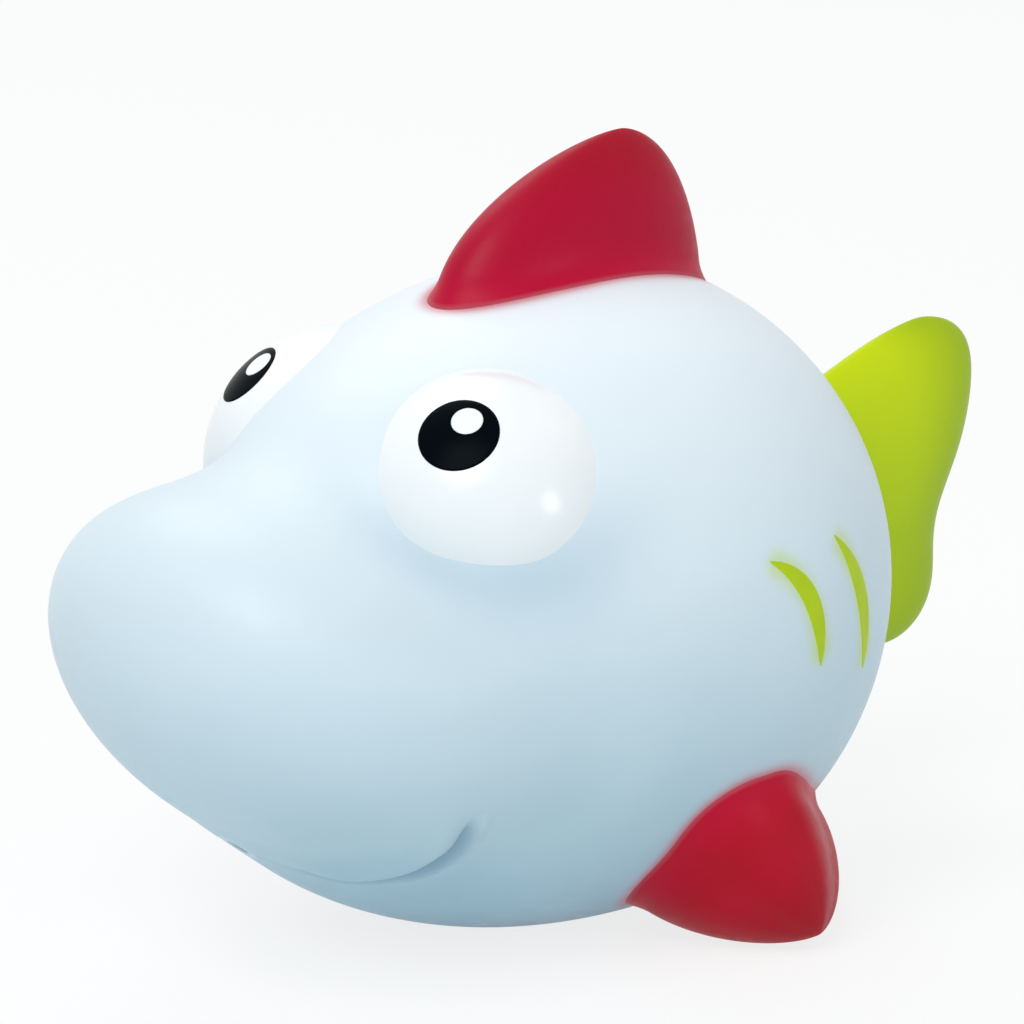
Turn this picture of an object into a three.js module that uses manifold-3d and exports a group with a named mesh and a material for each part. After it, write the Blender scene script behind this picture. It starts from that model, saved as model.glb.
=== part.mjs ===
import * as THREE from 'three';
import Module from 'manifold-3d';

// A soft hollow fish that squirts water when its flanks are pressed.
// Millimetres, +Z up, nose toward -X, the fish's left toward -Y.
// The origin is the middle of the belly flat. Sizes below are from the middle of the body.

// body and muzzle: two egg shapes, blended
const bodyFront = 35.2;
const jawFront = 38;
const bodyRear = 26.5;
const bodyHalfWidth = 25.6;
const bodyTop = 26.2;
const bodyBottom = 26.8;
const bodyPitch = 4.1;
const muzzleX = -27.3;
const muzzleZ = -2.7;
const muzzleLong = 19.2;
const muzzleHalfWidth = 20.6;
const muzzleShort = 13.2;
const muzzlePitch = -36.3;
const mouthBlend = 1.6;
const cheekBlend = 8;
const browBlend = 4.5;
const browHollowX = -25.6;
const browHollowY = 12.9;
const browHollowZ = 10.1;
const browHollowDepth = 1.3;
const browHollowReach = 5.5;
const wall = 2;
const bellyFlatDepth = 0.95;

// fits shared by all pieces
const gap = 0.3;
const seatWall = 1.6;
const heelDepth = 2.2;

// flanks that are pressed
const flankX = -10.5;
const flankZ = -1;
const flankHalfLength = 8;
const flankHalfHeight = 8;

// eyes: caps of a ball, with a stud through the shell
const eyeBallX = -15.3;
const eyeBallY = 9;
const eyeBallZ = 10.2;
const eyeBallRadius = 11;
const eyeRimRadius = 8.1;
const eyeTurn = 45.8;
const eyeRise = 39.2;
const eyeSeatDepth = 0.9;
const studRadius = 2.2;
const pupilRadius = 3.1;
const leftPupilTurn = 34;
const rightPupilTurn = 24;
const pupilRise = 46;
const pupilThickness = 1.6;
const catchlightRadius = 1.2;
const leftCatchlightTurn = 38;
const rightCatchlightTurn = 19;
const catchlightRise = 51.5;
const catchlightThickness = 0.6;

// fins: the angle is how far each one bends to either side
const dorsalFrontX = -12.6;
const dorsalRearX = 13.2;
const dorsalTipX = 5.8;
const dorsalRise = 10.2;
const dorsalLean = 1.1;
const dorsalHalfWidth = 5.8;
const dorsalBend = 12;
const pectoralX = 1.4;
const pectoralDrop = 43;
const pectoralHalfLength = 9.6;
const pectoralHalfHeight = 8.2;
const pectoralReach = 9.8;
const pectoralSweep = 3.5;
const pectoralDroop = 1.5;
const pectoralBend = 10;
const tailRootZ = 2.2;
const tailRootHalfHeight = 9.5;
const tailReach = 17.2;
const tailSlant = 2.6;
const tailUpperZ = 15.6;
const tailLowerZ = -12.4;
const tailNotch = 1.4;
const tailHalfThickness = 2.7;
const tailBend = 16;

// crescents on the flanks
const markThickness = 0.7;
const markHalfWidth = 0.85;
const frontMark = [[-0.4, 6.7], [4.3, 4.7], [4.5, -1.6]];
const rearMark = [[7.1, 7.2], [11.1, 3.2], [11, -3.5]];

// squirt nozzle in the mouth
const nozzleBore = 0.9;
const nozzleHeadRadius = 1.9;
const nozzleStemRadius = 1.5;
const nozzleHeadLength = 1;
const nozzleStemLength = 2.6;

const colours = {
  vinyl: 0xd3e8f1, white: 0xf6fafb, black: 0x06090d, red: 0xb5242f, green: 0xb0cb19, nozzle: 0xbcd6df,
};

const wasm = await Module();
wasm.setup();
const rad = THREE.MathUtils.degToRad;
const point = (x, y, z) => new THREE.Vector3(x, y, z);
const xAxis = point(1, 0, 0);
const yAxis = point(0, 1, 0);
const zAxis = point(0, 0, 1);

// solids and meshes

function solidOf(geometry) {
  const source = geometry.index ? geometry.toNonIndexed() : geometry;
  const place = source.getAttribute('position');
  const seen = new Map();
  const coords = [];
  const corners = [];
  for (let i = 0; i < place.count; i += 1) {
    const p = [place.getX(i), place.getY(i), place.getZ(i)];
    const key = p.map((n) => Math.round(n * 1e5)).join();
    if (!seen.has(key)) {
      seen.set(key, coords.length / 3);
      coords.push(...p);
    }
    corners.push(seen.get(key));
  }
  const triangles = [];
  for (let i = 0; i < corners.length; i += 3) {
    const [a, b, c] = corners.slice(i, i + 3);
    if (a !== b && b !== c && c !== a) triangles.push(a, b, c);
  }
  return new wasm.Manifold(new wasm.Mesh({
    numProp: 3, vertProperties: new Float32Array(coords), triVerts: new Uint32Array(triangles),
  }));
}

function geometryOf(solid) {
  const mesh = solid.getMesh();
  const geometry = new THREE.BufferGeometry();
  const coords = [];
  for (let i = 0; i < mesh.numVert; i += 1) {
    for (let k = 0; k < 3; k += 1) coords.push(mesh.vertProperties[i * mesh.numProp + k]);
  }
  geometry.setAttribute('position', new THREE.Float32BufferAttribute(coords, 3));
  geometry.setIndex(Array.from(mesh.triVerts));
  return geometry;
}

function mirrored(geometry) {
  const copy = geometry.index ? geometry.toNonIndexed() : geometry.clone();
  const place = copy.getAttribute('position');
  const coords = [];
  for (let i = 0; i < place.count; i += 3) {
    for (const j of [i, i + 2, i + 1]) coords.push(place.getX(j), -place.getY(j), place.getZ(j));
  }
  const flipped = new THREE.BufferGeometry();
  flipped.setAttribute('position', new THREE.Float32BufferAttribute(coords, 3));
  return flipped;
}

// Rings run once round; opposite points (i and count - i) are joined to close both ends.
function loft(rings) {
  const count = rings[0].length;
  const coords = rings.flat().flatMap((p) => p.toArray());
  const index = [];
  for (let r = 0; r + 1 < rings.length; r += 1) {
    for (let i = 0; i < count; i += 1) {
      const a = r * count + i;
      const b = r * count + ((i + 1) % count);
      index.push(a, b, b + count, a, b + count, a + count);
    }
  }
  const close = (start, flip) => {
    for (let i = 0; i < count / 2; i += 1) {
      const quad = [i, i + 1, count - i - 1, (count - i) % count].map((n) => start + n);
      const pair = [[quad[0], quad[1], quad[2]], [quad[0], quad[2], quad[3]]];
      for (const t of pair) index.push(...(flip ? t.toReversed() : t));
    }
  };
  close(0, true);
  close((rings.length - 1) * count, false);
  const geometry = new THREE.BufferGeometry();
  geometry.setAttribute('position', new THREE.Float32BufferAttribute(coords, 3));
  geometry.setIndex(index);
  return geometry;
}

function ellipseRing(centre, u, v, halfU, halfV, count) {
  return Array.from({ length: count }, (unused, i) => {
    const turn = (i / count) * Math.PI * 2;
    const p = centre.clone().addScaledVector(u, Math.cos(turn) * halfU);
    return p.addScaledVector(v, Math.sin(turn) * halfV);
  });
}

function rod(base, direction, radius, length, segments = 28) {
  const shape = new THREE.CylinderGeometry(radius, radius, length, segments, 1).translate(0, length / 2, 0);
  shape.applyQuaternion(new THREE.Quaternion().setFromUnitVectors(yAxis, direction));
  return shape.translate(base.x, base.y, base.z);
}

function turnedProfile(profile, base, direction, segments) {
  const shape = new THREE.LatheGeometry(profile.map(([r, h]) => new THREE.Vector2(r, h)), segments);
  shape.applyQuaternion(new THREE.Quaternion().setFromUnitVectors(yAxis, direction));
  return shape.translate(base.x, base.y, base.z);
}

// the skin

function pitched(p, degrees) {
  const c = Math.cos(rad(degrees));
  const s = Math.sin(rad(degrees));
  return point(p.x * c + p.z * s, p.y, -p.x * s + p.z * c);
}

function eggGap(p, x, y, z) {
  const near = Math.hypot(p.x / x, p.y / y, p.z / z);
  const slope = Math.hypot(p.x / x ** 2, p.y / y ** 2, p.z / z ** 2);
  return slope > 0 ? (near * (near - 1)) / slope : -Math.min(x, y, z);
}

function bodyGap(p) {
  const b = pitched(p, bodyPitch);
  const low = THREE.MathUtils.smoothstep(-b.z, 0, bodyBottom / 2);
  const front = THREE.MathUtils.lerp(bodyFront, jawFront, low);
  return eggGap(b, b.x < 0 ? front : bodyRear, bodyHalfWidth, b.z > 0 ? bodyTop : bodyBottom);
}

function muzzleGap(p) {
  const m = pitched(point(p.x - muzzleX, p.y, p.z - muzzleZ), muzzlePitch);
  return eggGap(m, muzzleLong, muzzleHalfWidth, muzzleShort);
}

// sharp along the mouth, full at the cheeks, softer again at the brow
function blendAt(p) {
  const lift = Math.atan2(p.z - muzzleZ, Math.abs(p.y));
  const cheek = THREE.MathUtils.smoothstep(lift, rad(-40), rad(-5));
  const brow = THREE.MathUtils.smoothstep(lift, rad(30), rad(70));
  return mouthBlend + (cheekBlend - mouthBlend) * cheek + (browBlend - cheekBlend) * brow;
}

// a hollow between each eye and the muzzle, so that the eye stands out in front
function browHollow(p) {
  const off = Math.hypot(p.x - browHollowX, Math.abs(p.y) - browHollowY, p.z - browHollowZ);
  return browHollowDepth * Math.exp(-((off / browHollowReach) ** 2));
}

function skinGap(p) {
  const body = bodyGap(p);
  const muzzle = muzzleGap(p);
  const blend = blendAt(p);
  const both = Math.min(body, muzzle) - Math.max(blend - Math.abs(body - muzzle), 0) ** 2 / (4 * blend);
  return both + browHollow(p);
}

const heart = point(muzzleX * 0.18, 0, muzzleZ * 0.6);

function onSkin(from, direction, inset = 0) {
  let inside = 0;
  let outside = (bodyFront + muzzleLong) * 2;
  for (let i = 0; i < 44; i += 1) {
    const middle = (inside + outside) / 2;
    if (skinGap(from.clone().addScaledVector(direction, middle)) < -inset) inside = middle;
    else outside = middle;
  }
  return from.clone().addScaledVector(direction, inside);
}

function skinNormal(p) {
  const h = 0.05;
  const gapAt = (axis, step) => skinGap(p.clone().addScaledVector(axis, step));
  const slope = (axis) => gapAt(axis, h) - gapAt(axis, -h);
  return point(slope(xAxis), slope(yAxis), slope(zAxis)).normalize();
}

function skin(inset, detail) {
  const shape = new THREE.IcosahedronGeometry(1, detail);
  const place = shape.getAttribute('position');
  for (let i = 0; i < place.count; i += 1) {
    const p = onSkin(heart, point(place.getX(i), place.getY(i), place.getZ(i)).normalize(), inset);
    place.setXYZ(i, p.x, p.y, p.z);
  }
  return solidOf(shape);
}

const skinDetail = 10;
const outer = skin(0, skinDetail);
const cavity = skin(wall, 5);

// the belly flat, whose middle is the origin

const lowest = onSkin(heart, point(0, 0, -1));
const floorZ = lowest.z + bellyFlatDepth;
const flatX = [-1, 1].map((way) => onSkin(point(lowest.x, 0, floorZ), point(way, 0, 0)).x)
  .reduce((a, b) => (a + b) / 2);
const ground = new THREE.BoxGeometry(4 * bodyFront, 4 * bodyHalfWidth, 2 * bodyBottom)
  .translate(0, 0, floorZ - bodyBottom);
const floorWall = new THREE.BoxGeometry(4 * bodyFront, 4 * bodyHalfWidth, 2 * bodyBottom)
  .translate(0, 0, floorZ - bodyBottom + wall);

// what is cut from the shell, and what is left standing inside it as seats

const cuts = [ground];
const seats = [floorWall];
const bothSides = (list, geometry) => list.push(geometry, mirrored(geometry));

// pressed flanks

function flankPrism(shape, segments) {
  const settings = { depth: bodyHalfWidth * 1.5, bevelEnabled: false, curveSegments: segments };
  return new THREE.ExtrudeGeometry(shape, settings).rotateX(Math.PI / 2);
}

function flankOval(grow) {
  const oval = new THREE.Shape();
  oval.absellipse(flankX, flankZ, flankHalfLength + grow, flankHalfHeight + grow, 0, Math.PI * 2);
  return flankPrism(oval, 28);
}

const squeezeWall = solidOf(flankOval(0)).intersect(outer).subtract(cavity);
bothSides(cuts, flankOval(gap));

// crescents let into the flanks

function crescent(corners, grow) {
  const line = new THREE.QuadraticBezierCurve(...corners.map(([x, z]) => new THREE.Vector2(x, z)));
  const side = (out) => Array.from({ length: 13 }, (unused, i) => {
    const along = -1 + i / 6;
    const swell = Math.sqrt(1 - along ** 2 * 0.96) * markHalfWidth + grow;
    const heading = line.getTangent(i / 12);
    const beside = new THREE.Vector2(heading.y, -heading.x);
    return line.getPoint(i / 12).addScaledVector(heading, along * grow).addScaledVector(beside, out * swell);
  });
  return flankPrism(new THREE.Shape([...side(1), ...side(-1).reverse()]), 1);
}

const underMark = skin(markThickness, skinDetail);
const underPocket = skin(markThickness + gap, skinDetail);
const marks = [frontMark, rearMark].map((corners) => {
  bothSides(cuts, geometryOf(solidOf(crescent(corners, gap)).subtract(underPocket)));
  return solidOf(crescent(corners, 0)).intersect(outer).subtract(underMark);
});

// eyes, worked out on the left; the right ones are turned over, with a pupil of their own

function lookAlong(turn, rise) {
  const level = Math.cos(rad(rise));
  return point(-Math.cos(rad(turn)) * level, -Math.sin(rad(turn)) * level, Math.sin(rad(rise)));
}

const eyeBall = point(eyeBallX, -eyeBallY, eyeBallZ);
const eyeAxis = lookAlong(eyeTurn, eyeRise);
const rimHeight = Math.sqrt(eyeBallRadius ** 2 - eyeRimRadius ** 2);
const seatHeight = rimHeight - eyeSeatDepth;
const studLength = gap + seatWall + gap;

const eyeArc = Array.from({ length: 9 }, (unused, i) => {
  const turn = Math.asin(eyeRimRadius / eyeBallRadius) * (1 - i / 8);
  return [Math.sin(turn) * eyeBallRadius, Math.cos(turn) * eyeBallRadius];
});
const eyeProfile = [
  [0, seatHeight - studLength], [studRadius, seatHeight - studLength], [studRadius, seatHeight],
  [eyeRimRadius, seatHeight], ...eyeArc,
];
const ball = solidOf(new THREE.SphereGeometry(eyeBallRadius, 40, 24).translate(...eyeBall.toArray()));

function inlay(turn, rise, radius, thickness, grow) {
  const along = lookAlong(turn, rise);
  const start = eyeBallRadius - thickness - grow;
  const base = eyeBall.clone().addScaledVector(along, start);
  return rod(base, along, radius + grow, thickness + eyeBallRadius / 4, 20);
}

function eyeSet(pupilTurn, catchlightTurn) {
  const pupilRod = (grow) => solidOf(inlay(pupilTurn, pupilRise, pupilRadius, pupilThickness, grow));
  const catchlightRod = (grow) => solidOf(
    inlay(catchlightTurn, catchlightRise, catchlightRadius, catchlightThickness, grow),
  );
  return {
    eye: solidOf(turnedProfile(eyeProfile, eyeBall, eyeAxis, 32)).subtract(pupilRod(gap)),
    pupil: pupilRod(0).intersect(ball).subtract(catchlightRod(gap)),
    catchlight: catchlightRod(0).intersect(ball),
  };
}

const leftEye = eyeSet(leftPupilTurn, leftCatchlightTurn);
const rightEye = eyeSet(rightPupilTurn, rightCatchlightTurn);

const eyeAt = (height) => eyeBall.clone().addScaledVector(eyeAxis, height);
bothSides(cuts, rod(eyeAt(seatHeight - gap), eyeAxis, eyeRimRadius + gap, eyeBallRadius));
bothSides(cuts, rod(eyeAt(seatHeight - studLength - wall), eyeAxis, studRadius + gap, eyeBallRadius));
const eyeSeatRadius = eyeRimRadius + gap + seatWall;
bothSides(seats, rod(eyeAt(seatHeight - gap - seatWall), eyeAxis, eyeSeatRadius, eyeBallRadius));

// dorsal fin: rings from the heel in the back up to the tip

const backAt = (x) => onSkin(point(x, 0, 0), zAxis);
const dorsalFront = backAt(dorsalFrontX);
const dorsalRear = backAt(dorsalRearX);
const dorsalTop = backAt(dorsalTipX).add(point(0, 0, dorsalRise));
const dorsalPivot = dorsalFront.clone().lerp(dorsalRear, 0.5);
const dorsalAxis = dorsalRear.clone().sub(dorsalFront).normalize();
const dorsalUp = point(-dorsalAxis.z, 0, dorsalAxis.x);
const dorsalHalfLength = dorsalFront.distanceTo(dorsalRear) / 2;

function dorsalRings(rows, count) {
  const reach = dorsalTop.clone().sub(dorsalPivot);
  const ring = (centre, long, wide) => ellipseRing(centre, dorsalAxis, yAxis, long, wide, count);
  const heel = dorsalPivot.clone().addScaledVector(dorsalUp, -heelDepth);
  const rings = [ring(heel, dorsalHalfLength, dorsalHalfWidth)];
  for (let i = 0; i <= rows; i += 1) {
    const up = Math.sin((i / rows) * Math.PI * 0.48);
    const long = dorsalHalfLength * (1 - up ** 1.75) ** 0.62;
    const wide = dorsalHalfWidth * (1 - up ** 1.5) ** 0.75;
    const lean = -4 * dorsalLean * up * (1 - up);
    const centre = dorsalPivot.clone().addScaledVector(reach, up).addScaledVector(dorsalAxis, lean);
    rings.push(ring(centre, long, wide));
  }
  return rings;
}

// pectoral fin on the left: a stubby flipper low on the side

const pectoralOut = point(0, -Math.cos(rad(pectoralDrop)), -Math.sin(rad(pectoralDrop)));
const pectoralSkin = onSkin(point(pectoralX, 0, 0), pectoralOut);
const pectoralNormal = skinNormal(pectoralSkin);
const pectoralLong = xAxis.clone().addScaledVector(pectoralNormal, -pectoralNormal.x).normalize();
const pectoralHigh = pectoralNormal.clone().cross(pectoralLong);
const pectoralSink = pectoralHalfHeight ** 2 / (bodyHalfWidth * 2);
const pectoralPivot = pectoralSkin.clone().addScaledVector(pectoralNormal, -pectoralSink);
const pectoralTip = pectoralPivot.clone().addScaledVector(pectoralNormal, pectoralReach)
  .addScaledVector(xAxis, pectoralSweep).addScaledVector(pectoralHigh, -pectoralDroop);

function pectoralRings(rows, count) {
  const reach = pectoralTip.clone().sub(pectoralPivot);
  const ring = (centre, size) => ellipseRing(
    centre, pectoralLong, pectoralHigh, pectoralHalfLength * size, pectoralHalfHeight * size, count,
  );
  const rings = [ring(pectoralPivot.clone().addScaledVector(pectoralNormal, -heelDepth), 1)];
  for (let i = 0; i <= rows; i += 1) {
    const out = Math.sin((i / rows) * Math.PI * 0.48);
    rings.push(ring(pectoralPivot.clone().addScaledVector(reach, out), (1 - out ** 1.6) ** 0.7));
  }
  return rings;
}

// tail: upright fan with two lobes

const tailSkin = onSkin(point(0, 0, tailRootZ), xAxis);
const tailPivot = point(tailSkin.x + gap, 0, tailRootZ);

// how far the tail's end reaches at a height from -1 to 1, with a notch and round corners
function tailEnd(high) {
  const notch = tailNotch * Math.exp(-(((high + 0.38) / 0.32) ** 2));
  return (tailReach + tailSlant * high - notch) * (0.66 + 0.34 * Math.sqrt(Math.max(1 - high ** 6, 0)));
}

function tailRings(rows, count) {
  const middleZ = (tailUpperZ + tailLowerZ) / 2;
  const halfEnd = (tailUpperZ - tailLowerZ) / 2;
  const rings = [];
  for (let row = -1; row <= rows; row += 1) {
    const along = Math.max(row, 0) / rows;
    const spread = along ** 0.75;
    const thick = tailHalfThickness * Math.sqrt(1 - (along * 0.97) ** 4);
    const full = 1 - 0.25 * Math.min(along * 2, 1);
    rings.push(Array.from({ length: count }, (unused, i) => {
      const turn = (i / count) * Math.PI * 2;
      const high = Math.cos(turn);
      const side = Math.sin(turn);
      const x = row < 0 ? -heelDepth : tailEnd(high) * along;
      const rootZ = tailRootZ + high * tailRootHalfHeight;
      const z = THREE.MathUtils.lerp(rootZ, middleZ + high * halfEnd, spread);
      return point(tailPivot.x + x, -Math.sign(side) * Math.abs(side) ** full * thick, z);
    }));
  }
  return rings;
}

// the room a fin's heel needs as it bends about its root, plus what is asked for around it
function finSocket(pivot, up, along, across, halfLong, halfWide, bend, grow) {
  const dip = halfWide * Math.sin(rad(bend));
  const sway = heelDepth * Math.sin(rad(bend));
  const ring = (height, room) => {
    const centre = pivot.clone().addScaledVector(up, height);
    return ellipseRing(centre, along, across, halfLong + room + grow, halfWide + room + grow, 28);
  };
  const bottom = ring(-heelDepth - dip - grow, sway * 1.2);
  return loft([bottom, ring(0, sway / 2), ring(heelDepth * 3, sway / 2)]);
}

function finSeat(...root) {
  const add = root[0].y === 0 ? (list, geometry) => list.push(geometry) : bothSides;
  add(cuts, finSocket(...root, gap));
  add(seats, finSocket(...root, gap + seatWall));
}

finSeat(dorsalPivot, dorsalUp, dorsalAxis, yAxis, dorsalHalfLength, dorsalHalfWidth, dorsalBend);
finSeat(
  pectoralPivot, pectoralNormal, pectoralLong, pectoralHigh,
  pectoralHalfLength, pectoralHalfHeight, pectoralBend,
);
finSeat(tailPivot, xAxis, zAxis, yAxis.clone().negate(), tailRootHalfHeight, tailHalfThickness, tailBend);

// nozzle, where the mouth line crosses the middle

function mouthMiddle() {
  let best = null;
  for (let degrees = 100; degrees < 175; degrees += 0.25) {
    const p = onSkin(heart, point(Math.cos(rad(degrees)), 0, -Math.sin(rad(degrees))));
    const meet = Math.abs(bodyGap(p) - muzzleGap(p));
    if (!best || meet < best.meet) best = { meet, p };
  }
  return best.p;
}

const nozzleMouth = mouthMiddle();
const nozzleAxis = nozzleMouth.clone().sub(heart).normalize();
const nozzleAt = (height) => nozzleMouth.clone().addScaledVector(nozzleAxis, height);
const nozzleFace = -gap;
const nozzleStep = nozzleFace - nozzleHeadLength;
const nozzleEnd = nozzleStep - nozzleStemLength;
const nozzleProfile = [
  [nozzleBore, nozzleEnd], [nozzleStemRadius, nozzleEnd], [nozzleStemRadius, nozzleStep],
  [nozzleHeadRadius, nozzleStep], [nozzleHeadRadius, nozzleFace],
  [nozzleBore, nozzleFace], [nozzleBore, nozzleEnd],
];
const nozzle = solidOf(turnedProfile(nozzleProfile, nozzleMouth, nozzleAxis, 24));
cuts.push(rod(nozzleAt(nozzleStep - gap), nozzleAxis, nozzleHeadRadius + gap, muzzleLong));
cuts.push(rod(nozzleAt(nozzleEnd - wall), nozzleAxis, nozzleStemRadius + gap, muzzleLong));
const nozzleSeatRadius = nozzleHeadRadius + gap + seatWall;
seats.push(rod(nozzleAt(nozzleStep - gap - seatWall), nozzleAxis, nozzleSeatRadius, muzzleLong));

const hollow = seats.reduce((space, seat) => space.subtract(solidOf(seat)), cavity);
const shell = cuts.reduce((solid, cut) => solid.subtract(solidOf(cut)), outer.subtract(hollow));

// the assembly

const fish = new THREE.Group();
fish.name = 'fish_squirt_bath_toy';

function addPiece(name, shape, colour, roughness = 0.45) {
  const geometry = shape.isBufferGeometry ? shape : geometryOf(shape);
  const placed = geometry.clone().translate(-flatX, 0, -floorZ);
  placed.computeVertexNormals();
  const mesh = new THREE.Mesh(placed, new THREE.MeshStandardMaterial({ color: colours[colour], roughness }));
  mesh.name = name;
  fish.add(mesh);
}

function addPair(name, shape, colour, roughness) {
  const left = shape.isBufferGeometry ? shape : geometryOf(shape);
  addPiece(`${name}_left`, left, colour, roughness);
  addPiece(`${name}_right`, mirrored(left), colour, roughness);
}

addPiece('body_shell', shell, 'vinyl');
addPair('squeeze_wall', squeezeWall, 'vinyl');
for (const [name, colour] of [['eye', 'white'], ['pupil', 'black'], ['catchlight', 'white']]) {
  addPiece(`${name}_left`, leftEye[name], colour, 0.2);
  addPiece(`${name}_right`, mirrored(geometryOf(rightEye[name])), colour, 0.2);
}
addPair('stripe_front', marks[0], 'green');
addPair('stripe_rear', marks[1], 'green');
addPiece('dorsal_fin', loft(dorsalRings(8, 28)), 'red');
addPair('pectoral_fin', loft(pectoralRings(7, 24)), 'red');
addPiece('tail_fin', loft(tailRings(10, 28)), 'green');
addPiece('squirt_nozzle', nozzle, 'nozzle');

export default fish;
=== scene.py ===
import math

import bpy
import numpy as np
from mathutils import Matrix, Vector


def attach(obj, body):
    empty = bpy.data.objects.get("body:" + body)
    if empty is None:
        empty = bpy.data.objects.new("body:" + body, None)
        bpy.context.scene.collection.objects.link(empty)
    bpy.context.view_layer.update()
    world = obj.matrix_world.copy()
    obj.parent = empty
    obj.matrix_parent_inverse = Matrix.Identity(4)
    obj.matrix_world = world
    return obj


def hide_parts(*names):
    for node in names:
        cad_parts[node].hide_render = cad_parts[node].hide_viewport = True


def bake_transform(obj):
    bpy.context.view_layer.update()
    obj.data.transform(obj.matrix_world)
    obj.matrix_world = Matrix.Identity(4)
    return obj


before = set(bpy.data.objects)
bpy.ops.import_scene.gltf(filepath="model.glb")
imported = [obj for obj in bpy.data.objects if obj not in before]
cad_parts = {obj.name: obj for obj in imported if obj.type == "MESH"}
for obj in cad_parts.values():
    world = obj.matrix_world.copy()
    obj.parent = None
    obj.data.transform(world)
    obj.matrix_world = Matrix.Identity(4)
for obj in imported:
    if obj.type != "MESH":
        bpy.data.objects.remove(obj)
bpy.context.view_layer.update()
print("frame:", len(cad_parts), "nodes")

# Forms are worked out in millimetres from the middle of the body, then put into the frame in metres.
bodyMiddle = np.array([2.591, 0.0, 25.835])
leftSide, rightSide = -1, 1


def toFrame(points):
    return (np.asarray(points, float) + bodyMiddle) * 0.001


def smooth(value, low, high):
    t = np.clip((np.asarray(value, float) - low) / (high - low), 0, 1)
    return t * t * (3 - 2 * t)


def unit(v):
    v = np.asarray(v, float)
    return v / np.linalg.norm(v, axis=-1, keepdims=True)


# the skin: an egg for the body and a pitched egg for the muzzle, blended

skinForm = {
    "front": 35.2, "jaw": 38.0, "rear": 26.5, "halfWidth": 25.6, "top": 26.2, "bottom": 26.8, "pitch": 4.1,
    "muzzleAt": (-27.3, 0.0, -2.7), "muzzleLong": 19.2, "muzzleHalfWidth": 20.6, "muzzleShort": 13.2,
    "muzzlePitch": -36.3, "mouthBlend": 1.6, "cheekBlend": 8.0, "browBlend": 4.5, "flatDepth": 0.95,
    "hollowAt": (-25.6, 12.9, 10.1), "hollowDepth": 1.3, "hollowReach": 5.5,
    "rings": 160, "segments": 420, "crowd": 0.6, "crowdAt": 204.0,
}


def pitched(p, degrees):
    c, s = math.cos(math.radians(degrees)), math.sin(math.radians(degrees))
    return np.stack([p[..., 0] * c + p[..., 2] * s, p[..., 1], -p[..., 0] * s + p[..., 2] * c], -1)


def eggGap(p, x, y, z):
    near = np.sqrt((p[..., 0] / x) ** 2 + (p[..., 1] / y) ** 2 + (p[..., 2] / z) ** 2)
    slope = np.sqrt((p[..., 0] / x**2) ** 2 + (p[..., 1] / y**2) ** 2 + (p[..., 2] / z**2) ** 2)
    return near * (near - 1) / np.maximum(slope, 1e-9)


def bodyGap(p):
    f = skinForm
    b = pitched(p, f["pitch"])
    front = f["front"] + (f["jaw"] - f["front"]) * smooth(-b[..., 2], 0, f["bottom"] / 2)
    return eggGap(
        b, np.where(b[..., 0] < 0, front, f["rear"]), f["halfWidth"], np.where(b[..., 2] > 0, f["top"], f["bottom"])
    )


def muzzleGap(p):
    f = skinForm
    return eggGap(
        pitched(p - np.array(f["muzzleAt"]), f["muzzlePitch"]),
        f["muzzleLong"], f["muzzleHalfWidth"], f["muzzleShort"],
    )


# a hollow between each eye and the muzzle
def browHollow(p):
    f = skinForm
    x, y, z = f["hollowAt"]
    off = (p[..., 0] - x) ** 2 + (np.abs(p[..., 1]) - y) ** 2 + (p[..., 2] - z) ** 2
    return f["hollowDepth"] * np.exp(-off / f["hollowReach"] ** 2)


def skinGap(p):
    f = skinForm
    lift = np.degrees(np.arctan2(p[..., 2] - f["muzzleAt"][2], np.abs(p[..., 1])))
    blend = f["mouthBlend"] + (f["cheekBlend"] - f["mouthBlend"]) * smooth(lift, -40, -5)
    blend = blend + (f["browBlend"] - f["cheekBlend"]) * smooth(lift, 30, 70)
    body, muzzle = bodyGap(p), muzzleGap(p)
    both = np.minimum(body, muzzle) - np.maximum(blend - np.abs(body - muzzle), 0) ** 2 / (4 * blend)
    return both + browHollow(p)


searchForm = {"far": 90.0, "halvings": 44, "step": 0.05}


def lastInside(pointAt, low, high):
    for _ in range(searchForm["halvings"]):
        middle = (low + high) / 2
        within = skinGap(pointAt(middle)) < 0
        low, high = np.where(within, middle, low), np.where(within, high, middle)
    return low


def onSkin(start, way):
    start, way = np.broadcast_arrays(np.asarray(start, float), np.asarray(way, float))
    none = np.zeros(way.shape[:-1])
    far = lastInside(lambda away: start + way * away[..., None], none, none + searchForm["far"])
    return start + way * far[..., None]


def skinNormal(p):
    h = searchForm["step"]
    return unit(np.stack([skinGap(p + h * a) - skinGap(p - h * a) for a in np.eye(3)], -1))


heart = np.array(skinForm["muzzleAt"]) * np.array([0.18, 0, 0.6])
floorZ = onSkin(heart, np.array([0, 0, -1.0]))[2] + skinForm["flatDepth"]


# meshes

def makeMesh(name, points, faces, attributes=None):
    mesh = bpy.data.meshes.new(name)
    mesh.from_pydata([tuple(p) for p in toFrame(points)], [], [tuple(int(i) for i in f) for f in faces])
    for key, values in (attributes or {}).items():
        mesh.attributes.new(key, "FLOAT", "POINT").data.foreach_set("value", np.asarray(values, np.float32))
    mesh.polygons.foreach_set("use_smooth", [True] * len(mesh.polygons))
    mesh.update()
    obj = bpy.data.objects.new(name, mesh)
    bpy.context.scene.collection.objects.link(obj)
    return obj


def gridFaces(rows, count, flip=False):
    r, i = np.meshgrid(np.arange(rows - 1), np.arange(count), indexing="ij")
    a, b = r * count + i, r * count + (i + 1) % count
    quads = np.stack([a, b, b + count, a + count], -1).reshape(-1, 4)
    return quads[:, ::-1] if flip else quads


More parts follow.
